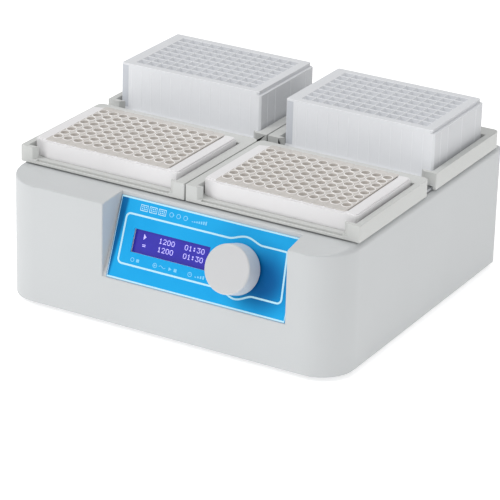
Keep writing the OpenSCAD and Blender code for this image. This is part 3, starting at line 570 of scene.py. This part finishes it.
def well_strips(side, body):
    """Twelve clear strips of eight wells with raised rings that wear a painted highlight, their rounded ends
    resting on the frame.
    """
    a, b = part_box("well_strips_" + side)
    middle_x, middle_y, top = (a.x + b.x) / 2, (a.y + b.y) / 2, b.z
    half_x, half_y = 4.4, PITCH / 2
    wells_end, strip_end, tab_r = ROWS * half_y, 42.2, 1.8
    per_side, highlight_ring_steps = 6, range(1, 5)
    corners = ((half_x, -half_y), (half_x, half_y), (-half_x, half_y), (-half_x, -half_y))
    edge = [(p[0] + (q[0] - p[0]) * i / per_side, p[1] + (q[1] - p[1]) * i / per_side)
            for p, q in zip(corners, corners[1:] + corners[:1]) for i in range(per_side)]
    angles = [math.atan2(y, x) for x, y in edge]
    bm = bmesh.new()

    def vert(x, y, z):
        return bm.verts.new((middle_x + x * MM, middle_y + y * MM, top + z * MM))

    def surface(cx, cy, level, section, under):
        """One well's square of strip and its well, from above or from underneath."""
        loops = [[vert(cx + x, cy + y, level) for x, y in edge]]
        loops += [[vert(cx + r * math.cos(t), cy + r * math.sin(t), z) for t in angles] for r, z in section]
        for depth, (outer, inner) in enumerate(zip(loops, loops[1:])):
            for i in range(len(edge)):
                k = (i + 1) % len(edge)
                quad = (outer[i], outer[k], inner[k], inner[i])
                face = bm.faces.new(quad[::-1] if under else quad)
                # The raised ring's faces take the second material, a painted highlight.
                if not under and depth in highlight_ring_steps:
                    face.material_index = 1
        bm.faces.new(loops[-1][::-1] if under else loops[-1])

    def tab(cx, end):
        """A strip's rounded end, past its last well."""
        outline = [(half_x, wells_end)] + arc(half_x - tab_r, strip_end - tab_r, tab_r, 0, 90, 4)
        outline += [(-x, y) for x, y in reversed(outline)]
        seam = [(half_x - 2 * half_x * i / per_side, wells_end) for i in range(per_side - 1, 0, -1)]
        over, under = ([vert(cx + x, end * y, level) for x, y in outline + seam]
                       for level in (STRIP_TOP, STRIP_UNDER))
        bm.faces.new(over if end > 0 else over[::-1])
        bm.faces.new(under[::-1] if end > 0 else under)
        for i in range(len(outline) - 1):
            quad = (under[i], under[i + 1], over[i + 1], over[i])
            bm.faces.new(quad if end > 0 else quad[::-1])

    def long_side(x, cx):
        """A strip's thin side along its eight wells."""
        step = PITCH / per_side
        for i in range(ROWS * per_side):
            y = i * step - wells_end
            low_high = ((y, STRIP_UNDER), (y + step, STRIP_UNDER), (y + step, STRIP_TOP), (y, STRIP_TOP))
            quad = [vert(cx + x, across, z) for across, z in low_high]
            bm.faces.new(quad if x > 0 else quad[::-1])

    for column in range(COLUMNS):
        cx = (column - (COLUMNS - 1) / 2) * PITCH
        for row in range(ROWS):
            cy = (row - (ROWS - 1) / 2) * PITCH
            surface(cx, cy, STRIP_TOP, WELL_IN, False)
            surface(cx, cy, STRIP_UNDER, WELL_OUT, True)
        for end in (-1, 1):
            tab(cx, end)
            long_side(end * half_x, cx)
    weld = 0.000004
    bmesh.ops.remove_doubles(bm, verts=bm.verts, dist=weld)
    obj = standing_for("well_strips_" + side, "well_strips_shell_" + side, bm, "clear", body)
    # The second material: the painted highlight on the rings.
    obj.data.materials.append(M["ring"])


def deep_ribs(side, body):
    """What shows through a deep-well plate's walls: ribs with painted light, a painted highlight along the
    front's top rim and a hollow left end in painted shade.
    """
    a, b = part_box("deep_plate_" + side)
    wall, proud, half_rib, half_cross_rib = 0.0006, 0.0001, 0.0004, 0.0005
    x0, x1, y0, y1 = a.x + wall, b.x - wall, a.y + wall, b.y - wall
    cross_ribs = (-0.0307, -0.0187, 0.0053, 0.0293)
    low, high = a.z + 0.0032, b.z - 0.0045
    middle_x, middle_y = (a.x + b.x) / 2, (a.y + b.y) / 2

    def bar(bm, bar_low, bar_high):
        grown = box_into(bm, bar_low, bar_high)
        edges = list({e for v in grown for e in v.link_edges if vertical(e)})
        bmesh.ops.bevel(bm, geom=edges, offset=0.00008, segments=1, profile=0.5, affect="EDGES")

    bm = bmesh.new()
    for k in range(COLUMNS + 1):
        x = middle_x + (k - COLUMNS / 2) * PITCH * MM
        for y in (y0, y1):
            bar(bm, (x - half_rib, y - proud, low), (x + half_rib, y + proud, high))
    for across in cross_ribs:
        y = middle_y + across
        for x in (x0, x1):
            bar(bm, (x - proud, y - half_cross_rib, low), (x + proud, y + half_cross_rib, high))
    # A painted highlight along the top rim of the front face.
    bar(bm, (x0 + 0.001, y0 - 0.00002, b.z - 0.00034), (x1 - 0.001, y0 + 0.00032, b.z - 0.00002))
    new_piece("deep_plate_ribs_and_rim_highlight_" + side, bm, "rib", body)
    bm = bmesh.new()
    # Painted shade: a darker sheet over the hollow left end of the front face.
    bar(bm, (x0 + 0.0008, y0 - proud / 2, low), (x0 + 0.0064, y0 + proud, high + 0.003))
    new_piece("deep_plate_hollow_shade_" + side, bm, "hollow", body)


def deep_plate(side, body):
    """The deep-well plate with its rims rounded, and in its wells a material made brighter by painted light.
    """
    node = "deep_plate_" + side
    a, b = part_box(node)
    base, flange, rim, corner_reach = 0.0021, 0.0022, 0.0041, 0.03
    margin_x, margin_y, lip = 0.0065, 0.0015, 0.001

    def wanted(p, e):
        corner = vertical(e) and p.z > b.z - corner_reach
        return p.z > a.z + base and (p.z > b.z - rim or abs(p.z - a.z - flange) < 0.0001 or corner)

    plate = rounded_copy(node, "deep_plate_shell_" + side, "natural", body, 0.0003, wanted)
    # Its wells' faces take a second material, brighter with painted light.
    plate.data.materials.append(M["well"])
    for face in plate.data.polygons:
        x, y, z = face.center
        if a.x + margin_x < x < b.x - margin_x and a.y + margin_y < y < b.y - margin_y and z < b.z - lip:
            face.material_index = 1


for side in ("left", "right"):
    rounded_copy("strip_frame_" + side, "strip_frame_shell_" + side, "white",
                 "strip_plate_" + side, 0.00035)
    well_strips(side, "strip_plate_" + side)
    deep_plate(side, "deep_well_" + side)
    deep_ribs(side, "deep_well_" + side)

# ---------------------------------------------------------------- rear inlet

def inlet_blades():
    """Plated sleeves over the inlet's three pins."""
    a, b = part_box("mains_inlet")
    middle_x, middle_z = (a.x + b.x) / 2, (a.z + b.z) / 2
    half = Vector((0.00106, 0.0059, 0.00206))
    spread, depth, raised, drop, rounding = 0.007, 0.0113, 0.004, 0.0015, 0.0004
    bm = bmesh.new()
    for i in (-1, 0, 1):
        centre = Vector((middle_x + i * spread, b.y - depth, middle_z + raised - abs(i) * drop))
        grown = box_into(bm, centre - half, centre + half)
        edges = list({e for v in grown for e in v.link_edges})
        bmesh.ops.bevel(bm, geom=edges, offset=rounding, segments=2, profile=0.5, affect="EDGES")
    new_piece("inlet_blades", bm, "steel", "housing")


inlet_blades()

# ---------------------------------------------------------------- stage, light, camera

def floor():
    """A pale floor that shines a little, so that almost no shadow shows."""
    bm = bmesh.new()
    bmesh.ops.create_grid(bm, x_segments=24, y_segments=24, size=3.0)
    mesh = bpy.data.meshes.new("floor")
    bm.to_mesh(mesh)
    bm.free()
    obj = bpy.data.objects.new("floor", mesh)
    bpy.context.scene.collection.objects.link(obj)
    obj.data.materials.append(material("floor_pale", (0.95, 0.95, 0.95), 0.9, level=0.1, vary=0.004,
                                       vary_scale=4, grain=0.05, emission=0.5))


floor()


def square_light(name, where, aim, size, power):
    data = bpy.data.lights.new(name, "AREA")
    data.shape = "RECTANGLE"
    data.size = size
    data.size_y = size
    data.energy = power
    obj = bpy.data.objects.new(name, data)
    bpy.context.scene.collection.objects.link(obj)
    obj.location = where
    obj.rotation_mode = "QUATERNION"
    obj.rotation_quaternion = (Vector(where) - Vector(aim)).to_track_quat("Z", "Y")


square_light("key", (-1.1, -1.5, 1.7), (0, 0, 0.07), 1.4, 20)
square_light("top", (0.1, 0.2, 2.0), (0, 0, 0.1), 1.8, 12)
square_light("right", (1.8, -0.4, 0.9), (0.1, 0, 0.08), 1.0, 1)

world = bpy.data.worlds.new("studio")
bpy.context.scene.world = world
world.use_nodes = True
background = world.node_tree.nodes["Background"]
background.inputs["Color"].default_value = (1.0, 1.0, 1.0, 1)
background.inputs["Strength"].default_value = 0.46
bpy.context.scene.view_settings.view_transform = "Standard"

# A long lens from the front right and above. level and upright are its picture's axes before the roll.
camera = bpy.data.objects.new("camera", bpy.data.cameras.new("camera"))
bpy.context.scene.collection.objects.link(camera)
camera.data.lens = 191.53
camera.data.sensor_width = 36
camera.data.clip_start = 0.05
camera.data.clip_end = 50
azimuth, elevation, roll = (math.radians(a) for a in (29.47, 23.26, 1.58))
back = Vector((math.sin(azimuth) * math.cos(elevation), -math.cos(azimuth) * math.cos(elevation),
               math.sin(elevation)))
level = Vector((math.cos(azimuth), math.sin(azimuth), 0))
upright = back.cross(level)
right = math.cos(roll) * level + math.sin(roll) * upright
up = math.cos(roll) * upright - math.sin(roll) * level
turn = Matrix((right, up, back)).transposed().to_4x4()
camera.matrix_world = Matrix.Translation((0.9299, FRONT - 1.51833, 0.8412)) @ turn
bpy.context.scene.camera = camera
